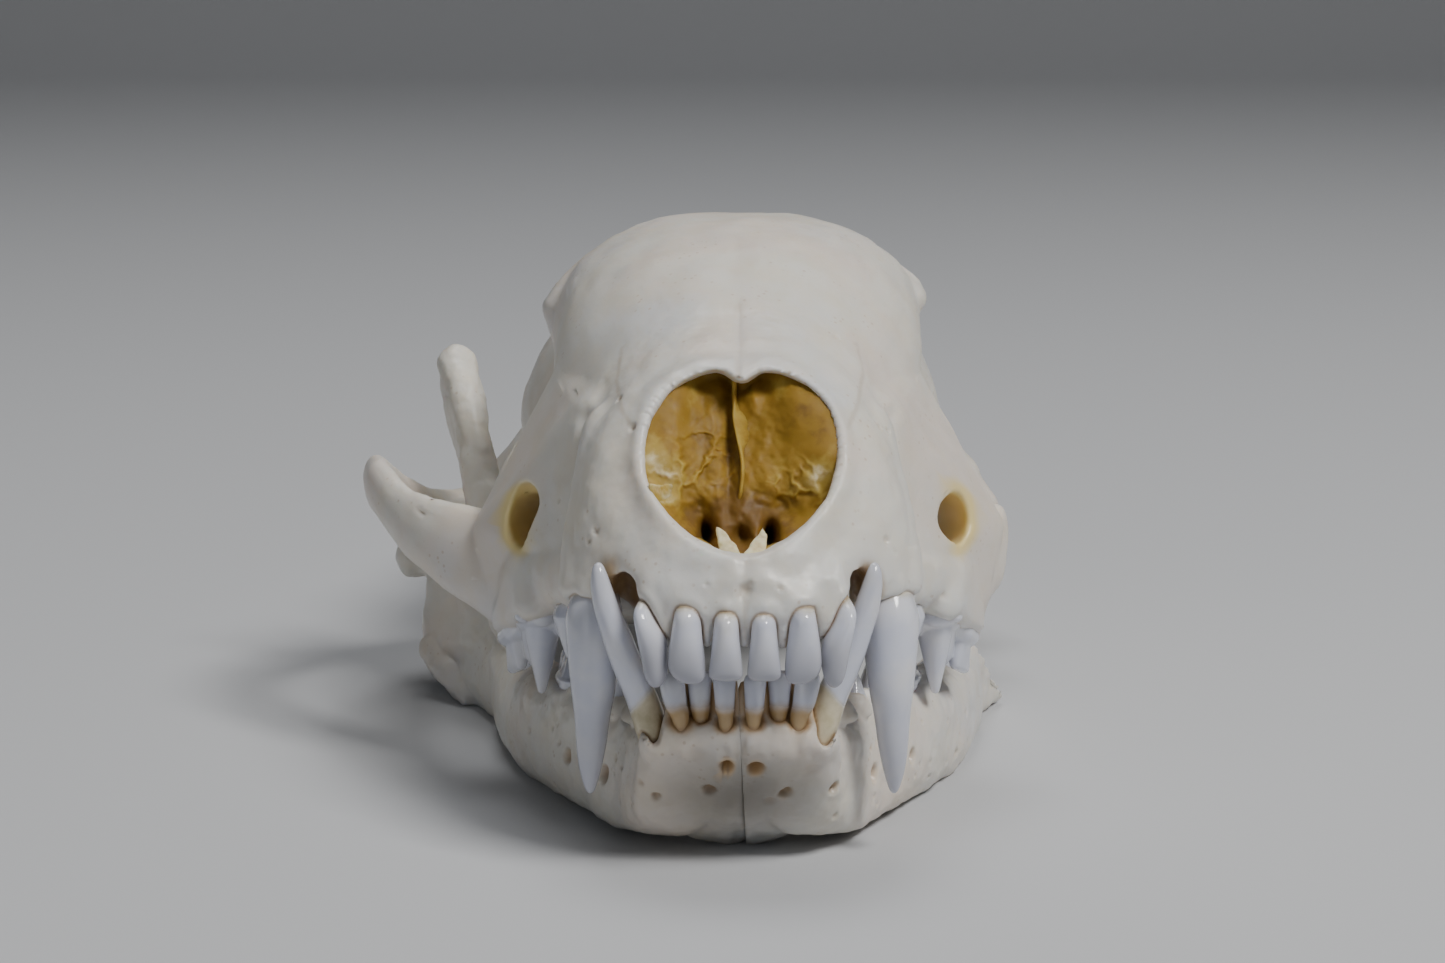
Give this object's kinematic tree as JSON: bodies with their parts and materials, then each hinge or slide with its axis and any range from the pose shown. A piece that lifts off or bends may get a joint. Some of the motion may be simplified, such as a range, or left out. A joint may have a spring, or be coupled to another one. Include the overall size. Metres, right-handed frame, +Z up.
{
  "type": "skunk skull",
  "caption": "Life-size striped skunk skull with its lower jaw closed, whole teeth, one cheek arch and one jaw branch broken away, resting on its chin and jaw angles.",
  "frame": {"origin": "centre of the skull's bounding box in plan, at the height of the floor it rests on", "axes": "+Z up; -Y the way the nose points; +X the animal's left, which is on the picture's right"},
  "size_m": [0.0404, 0.0718, 0.0317],
  "materials": {
    "bone": "clean dry bone, satin"
  },
  "bodies": {
    "root": {"cranium": "bone", "mandible_left": "bone", "mandible_right": "bone"}
  },
  "joints": []
}
